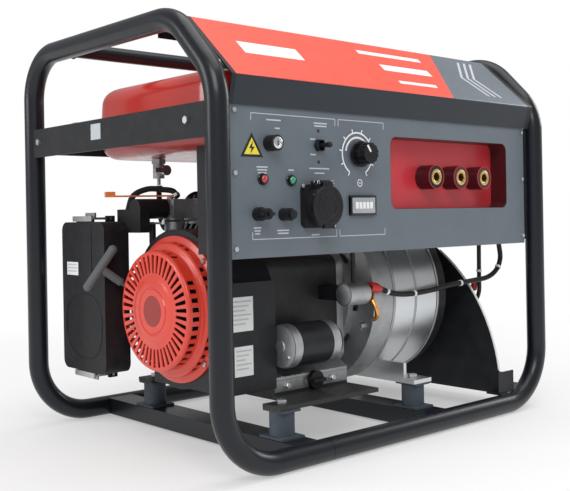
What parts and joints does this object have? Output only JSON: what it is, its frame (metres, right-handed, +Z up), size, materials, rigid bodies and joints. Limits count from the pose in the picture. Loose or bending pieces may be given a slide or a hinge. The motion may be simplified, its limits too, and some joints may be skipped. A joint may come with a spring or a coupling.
{
  "type": "engine driven welder",
  "caption": "Portable engine driven welder: petrol engine with recoil starter, welding alternator, control panel and fuel tank in an open tube frame.",
  "frame": {"origin": "on the floor under the middle of the tube frame", "axes": "+X along the control panel from the recoil starter to the alternator, control panel facing -Y, +Z up"},
  "size_m": [0.69, 0.5066, 0.588],
  "materials": {
    "frame_paint": "satin powder coat",
    "carrier_paint": "satin paint",
    "tank_red": "gloss enamel",
    "tank_dark_red": "gloss enamel in shade",
    "hood_paint": "gloss enamel with a printed grey field",
    "panel_paint": "satin print",
    "box_paint": "satin paint",
    "socket_red": "moulded",
    "black_plastic": "moulded",
    "orange_plastic": "moulded",
    "recoil_paint": "gloss paint",
    "engine_alloy": "sand-cast and blasted",
    "fan_black": "satin paint",
    "cast_iron": "machined casting",
    "steel": "machined and oiled",
    "zinc_steel": "bright zinc plate",
    "exhaust_steel": "heat-stained plate",
    "copper": "lacquered windings and laminations",
    "brass": "bright",
    "rubber": "moulded",
    "cable": "extruded",
    "hose": "extruded",
    "ceramic": "glazed",
    "filter": "pleated",
    "battery_case": "moulded",
    "handle_grey": "moulded"
  },
  "bodies": {
    "machine": {"frame_hoop_left": "frame_paint", "frame_hoop_right": "frame_paint", "cross_members": "frame_paint", "tank_end_plates": "carrier_paint", "tank_rails": "carrier_paint", "rubber_mounts": "rubber", "assembly_bolts": "zinc_steel", "fuel_tank_upper": "tank_red", "fuel_tank_lower": "tank_dark_red", "fuel_cock": "engine_alloy", "hoses": "hose", "crankcase": "engine_alloy", "crankcase_cover": "engine_alloy", "cylinder_head": "engine_alloy", "rocker_cover": "fan_black", "spark_plug": "ceramic", "plug_lead": "cable", "fan_shroud": "fan_black", "bearings": "steel", "recoil_cover": "recoil_paint", "carburettor": "engine_alloy", "air_cleaner_case": "black_plastic", "air_cleaner_cover": "black_plastic", "air_filter_element": "filter", "muffler": "exhaust_steel", "starter_motor": "fan_black", "alternator_front_bell": "engine_alloy", "stator_housing": "engine_alloy", "stator_core": "copper", "alternator_end_cover": "fan_black", "control_panel": "panel_paint", "socket_tray": "socket_red", "weld_sockets": "brass", "hood": "hood_paint", "control_box": "box_paint", "panel_fittings": "steel", "ac_socket": "black_plastic", "battery": "battery_case", "battery_tray": "carrier_paint", "wiring_loom": "cable"},
    "crank_train": {"crankshaft": "steel", "flywheel": "cast_iron", "rotor": "copper"},
    "starter_handle": {"recoil_handle": "handle_grey"},
    "starter_pulley": {"recoil_pulley": "black_plastic"},
    "fuel_cap": {"fuel_cap": "black_plastic"},
    "fuel_cock_lever": {"fuel_cock_lever": "zinc_steel"},
    "choke_lever": {"choke_lever": "orange_plastic"},
    "throttle_lever": {"throttle_lever": "zinc_steel"},
    "governor_arm": {"governor_arm": "zinc_steel"},
    "governor_rod": {"governor_rod": "zinc_steel"},
    "top_clip": {"latch_clip_top": "zinc_steel"},
    "bottom_clip": {"latch_clip_bottom": "zinc_steel"},
    "oil_cap": {"oil_cap": "black_plastic"},
    "lock_core": {"lock_core": "steel"},
    "toggle_lever": {"toggle_lever": "black_plastic"},
    "current_knob": {"current_knob": "black_plastic"},
    "socket_lid": {"socket_lid": "black_plastic"},
    "breaker_button": {"breaker_button": "black_plastic"},
    "earth_nut": {"earth_nut": "brass"}
  },
  "joints": [
    {"name": "crank_spin", "type": "hinge", "parent": "machine", "child": "crank_train", "pos_m": [0, -0.03, 0.193], "axis": [1, 0, 0], "continuous": true},
    {"name": "starter_pull", "type": "slide", "parent": "machine", "child": "starter_handle", "axis": [-0.7928, 0.1613, 0.5878], "range_m": [0, 0.45], "stiffness_N_per_m": 25, "springref_m": -0.4},
    {"name": "pulley_turn", "type": "hinge", "parent": "machine", "child": "starter_pulley", "pos_m": [-0.275, -0.03, 0.193], "axis": [-1, 0, 0], "range_deg": [0, 505]},
    {"name": "fuel_cap_turn", "type": "hinge", "parent": "machine", "child": "fuel_cap", "pos_m": [0.02, 0.06, 0.54], "axis": [0, 0, 1], "range_deg": [0, 90]},
    {"name": "fuel_cock_turn", "type": "hinge", "parent": "machine", "child": "fuel_cock_lever", "pos_m": [-0.184, 0.09, 0.39485], "axis": [0, -1, 0], "range_deg": [0, 90]},
    {"name": "choke_turn", "type": "hinge", "parent": "machine", "child": "choke_lever", "pos_m": [-0.195, 0.062, 0.335], "axis": [0, 0, 1], "range_deg": [0, 45]},
    {"name": "governor_turn", "type": "hinge", "parent": "machine", "child": "governor_arm", "pos_m": [-0.228, 0.062, 0.3135], "axis": [0, 0, 1], "range_deg": [0, 15], "stiffness_Nm_per_rad": 0.05, "springref_deg": -5.73},
    {"name": "governor_rod_turn", "type": "hinge", "parent": "governor_arm", "child": "governor_rod", "pos_m": [-0.234, 0.022, 0.317], "axis": [0, 0, 1], "range_deg": [-15, 0]},
    {"name": "throttle_turn", "type": "hinge", "parent": "machine", "child": "throttle_lever", "pos_m": [-0.16, 0.062, 0.33], "axis": [0, 0, 1], "range_deg": [0, 15]},
    {"name": "top_clip_swing", "type": "hinge", "parent": "machine", "child": "top_clip", "pos_m": [-0.269, 0.148, 0.322], "axis": [0, 1, 0], "range_deg": [0, 100]},
    {"name": "bottom_clip_swing", "type": "hinge", "parent": "machine", "child": "bottom_clip", "pos_m": [-0.269, 0.148, 0.087], "axis": [0, -1, 0], "range_deg": [0, 100]},
    {"name": "oil_cap_turn", "type": "hinge", "parent": "machine", "child": "oil_cap", "pos_m": [-0.089, -0.135, 0.086], "axis": [0, -1, 0], "range_deg": [0, 360]},
    {"name": "key_turn", "type": "hinge", "parent": "machine", "child": "lock_core", "pos_m": [-0.249, -0.24, 0.4115], "axis": [0, 1, 0], "range_deg": [0, 90]},
    {"name": "toggle_swing", "type": "hinge", "parent": "machine", "child": "toggle_lever", "pos_m": [-0.164, -0.224, 0.412], "axis": [1, 0, 0], "range_deg": [-12, 12]},
    {"name": "current_knob_turn", "type": "hinge", "parent": "machine", "child": "current_knob", "pos_m": [-0.091, -0.245, 0.403], "axis": [0, 1, 0], "range_deg": [0, 270]},
    {"name": "socket_lid_swing", "type": "hinge", "parent": "machine", "child": "socket_lid", "pos_m": [-0.172, -0.25, 0.363], "axis": [-1, 0, 0], "range_deg": [0, 110], "stiffness_Nm_per_rad": 0.02, "springref_deg": -28.65},
    {"name": "breaker_push", "type": "slide", "parent": "machine", "child": "breaker_button", "axis": [0, 1, 0], "range_m": [0, 0.003], "stiffness_N_per_m": 800},
    {"name": "earth_nut_turn", "type": "hinge", "parent": "machine", "child": "earth_nut", "pos_m": [-0.27, -0.25, 0.324], "axis": [0, -1, 0], "range_deg": [0, 360]}
  ],
  "couplings": [
    {"joint": "pulley_turn", "follows": "starter_pull", "rad_per_m": 19.4},
    {"joint": "governor_rod_turn", "follows": "governor_turn", "ratio": -1},
    {"joint": "throttle_turn", "follows": "governor_turn", "ratio": 1}
  ]
}
